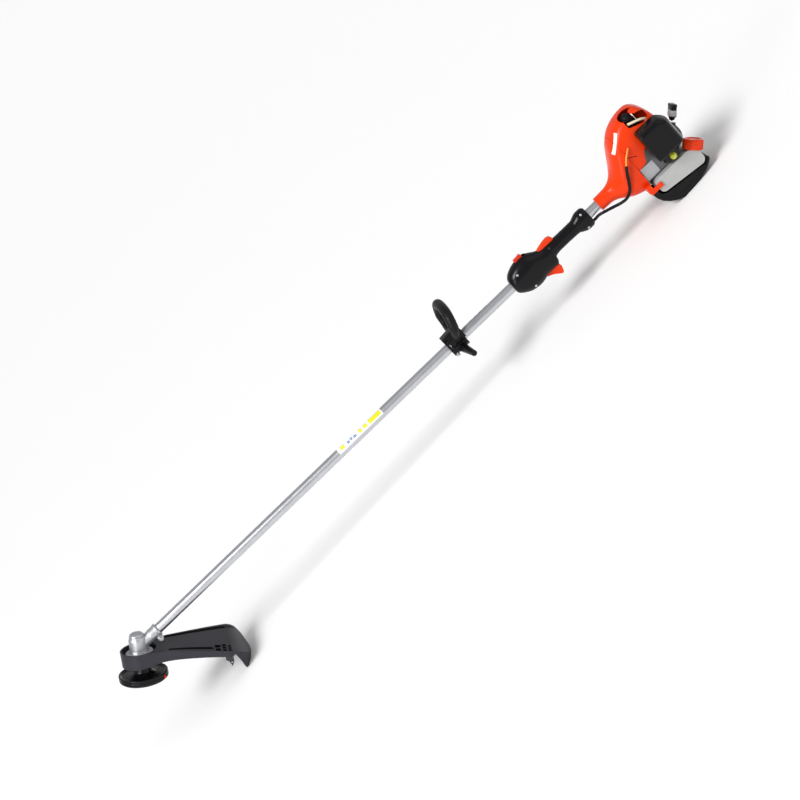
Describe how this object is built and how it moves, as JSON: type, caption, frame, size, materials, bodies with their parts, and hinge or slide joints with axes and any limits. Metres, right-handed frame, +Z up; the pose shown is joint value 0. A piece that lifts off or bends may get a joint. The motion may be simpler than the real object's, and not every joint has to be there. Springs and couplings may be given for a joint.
{
  "type": "string trimmer",
  "caption": "Petrol string trimmer with a straight tube, angled gear head under a curved shield, loop handle, throttle handle and a rear engine with tank and pull starter",
  "frame": {"origin": "centre of the bounding box in X and Y, on the ground the trimmer rests on", "axes": "+X from the line head to the engine, +Y to the operator's right, +Z up, lying at rest on its shield and tank guard"},
  "size_m": [1.8666, 0.1806, 0.2555],
  "materials": {
    "black_plastic": "moulded, satin",
    "dark_steel": "blackened",
    "steel": "machined",
    "rubber": "matt",
    "cast_aluminium": "cast, bead blasted",
    "orange_gloss": "moulded, high gloss",
    "foam": "open foam",
    "tank_plastic": "translucent moulded",
    "red_plastic": "moulded",
    "nylon": "natural nylon",
    "soft_grip": "soft moulded grip",
    "tube_aluminium": "drawn and brushed, clear anodised",
    "cream_sleeve": "woven sleeve look",
    "bulb_plastic": "translucent, soft",
    "shield_plastic": "moulded, fine grain"
  },
  "bodies": {
    "machine": {"air_cleaner_cover": "black_plastic", "carburettor": "dark_steel", "control_cable": "rubber", "crankcase": "cast_aluminium", "cylinder": "cast_aluminium", "cylinder_cover": "orange_gloss", "fan_case": "orange_gloss", "filter_element": "foam", "fuel_tank": "tank_plastic", "gear_case": "cast_aluminium", "gear_case_bolt": "steel", "gear_case_cap": "cast_aluminium", "grip_half_left": "black_plastic", "grip_half_right": "black_plastic", "grip_screw_front_lower": "steel", "grip_screw_front_upper": "steel", "grip_screw_rear_lower": "steel", "grip_screw_rear_upper": "steel", "line_cutter_blade": "steel", "loop_bolt": "steel", "loop_bracket_lower": "black_plastic", "loop_bracket_upper": "black_plastic", "loop_handle": "soft_grip", "main_tube": "tube_aluminium", "muffler": "dark_steel", "plug_boot": "rubber", "plug_lead": "cream_sleeve", "shaft_liner": "nylon", "shield": "shield_plastic", "shield_screw_left": "steel", "shield_screw_right": "steel", "spark_plug": "steel", "starter_case": "black_plastic", "tank_guard": "black_plastic"},
    "cutting_head": {"output_gear": "steel", "output_shaft": "steel", "line_head_housing": "black_plastic", "line_head_cover": "black_plastic", "line_eyelet_left": "red_plastic", "line_eyelet_right": "red_plastic", "knob_spring": "steel"},
    "spool": {"line_spool": "nylon", "wound_line": "red_plastic"},
    "bump_knob": {"bump_knob": "black_plastic"},
    "drive_line": {"pinion_gear": "steel", "drive_shaft": "steel", "clutch_drum": "steel"},
    "crank": {"crankshaft": "steel", "flywheel": "cast_aluminium", "clutch_rotor": "dark_steel"},
    "piston_and_rod": {"piston": "cast_aluminium", "connecting_rod": "steel"},
    "throttle_trigger": {"throttle_trigger": "orange_gloss"},
    "throttle_lockout": {"throttle_lockout": "orange_gloss"},
    "stop_switch": {"stop_switch": "red_plastic"},
    "primer_bulb": {"primer_bulb": "bulb_plastic"},
    "choke_lever": {"choke_lever": "black_plastic"},
    "fuel_cap": {"fuel_cap": "orange_gloss"},
    "starter_pulley": {"starter_pulley": "nylon"},
    "starter_grip": {"starter_grip": "black_plastic"}
  },
  "joints": [
    {"name": "head_spin", "type": "hinge", "parent": "machine", "child": "cutting_head", "pos_m": [-0.8406, 0.00325, 0.21852], "axis": [0.6103, 0, 0.7922], "continuous": true},
    {"name": "drive_spin", "type": "hinge", "parent": "machine", "child": "drive_line", "pos_m": [-0.8406, 0.00325, 0.21852], "axis": [0.998, 0, -0.0629], "continuous": true},
    {"name": "spool_spin", "type": "hinge", "parent": "cutting_head", "child": "spool", "pos_m": [-0.8406, 0.00325, 0.21852], "axis": [0.6103, 0, 0.7922], "continuous": true},
    {"name": "knob_press", "type": "slide", "parent": "cutting_head", "child": "bump_knob", "axis": [0.6103, 0, 0.7922], "range_m": [0, 0.004], "stiffness_N_per_m": 600, "springref_m": -0.003},
    {"name": "crank_spin", "type": "hinge", "parent": "machine", "child": "crank", "pos_m": [-0.8406, 0.00325, 0.21852], "axis": [0.998, 0, -0.0629], "continuous": true},
    {"name": "piston_slide", "type": "slide", "parent": "machine", "child": "piston_and_rod", "axis": [0.0629, 0, 0.998], "range_m": [-0.028, 0]},
    {"name": "trigger_pull", "type": "hinge", "parent": "machine", "child": "throttle_trigger", "pos_m": [0.4472, 0.00325, 0.11124], "axis": [0, -1, 0], "range_deg": [0, 14], "stiffness_Nm_per_rad": 0.25, "springref_deg": -17.19},
    {"name": "lockout_press", "type": "hinge", "parent": "machine", "child": "throttle_lockout", "pos_m": [0.46896, 0.00325, 0.15445], "axis": [0, 1, 0], "range_deg": [0, 3.5], "stiffness_Nm_per_rad": 1, "springref_deg": -8.59},
    {"name": "stop_switch_slide", "type": "slide", "parent": "machine", "child": "stop_switch", "axis": [0.998, 0, -0.0629], "range_m": [0, 0.007]},
    {"name": "primer_press", "type": "slide", "parent": "machine", "child": "primer_bulb", "axis": [0, 1, 0], "range_m": [0, 0.0045], "stiffness_N_per_m": 500, "springref_m": -0.002},
    {"name": "choke_turn", "type": "hinge", "parent": "machine", "child": "choke_lever", "pos_m": [0.81859, -0.04275, 0.10585], "axis": [0, 1, 0], "range_deg": [0, 40]},
    {"name": "fuel_cap_turn", "type": "hinge", "parent": "machine", "child": "fuel_cap", "pos_m": [0.89071, -0.03075, 0.06573], "axis": [0.7386, 0, 0.6742], "continuous": true},
    {"name": "starter_pull", "type": "slide", "parent": "machine", "child": "starter_grip", "axis": [0.7386, 0, 0.6742], "range_m": [0, 0.08], "stiffness_N_per_m": 40, "springref_m": -0.03},
    {"name": "pulley_turn", "type": "hinge", "parent": "machine", "child": "starter_pulley", "pos_m": [0.85602, 0.00325, 0.1115], "axis": [0.998, 0, -0.0629], "range_deg": [0, 184]}
  ],
  "couplings": [
    {"joint": "drive_spin", "follows": "head_spin", "ratio": -1.3333},
    {"joint": "pulley_turn", "follows": "starter_pull", "rad_per_m": 40}
  ]
}
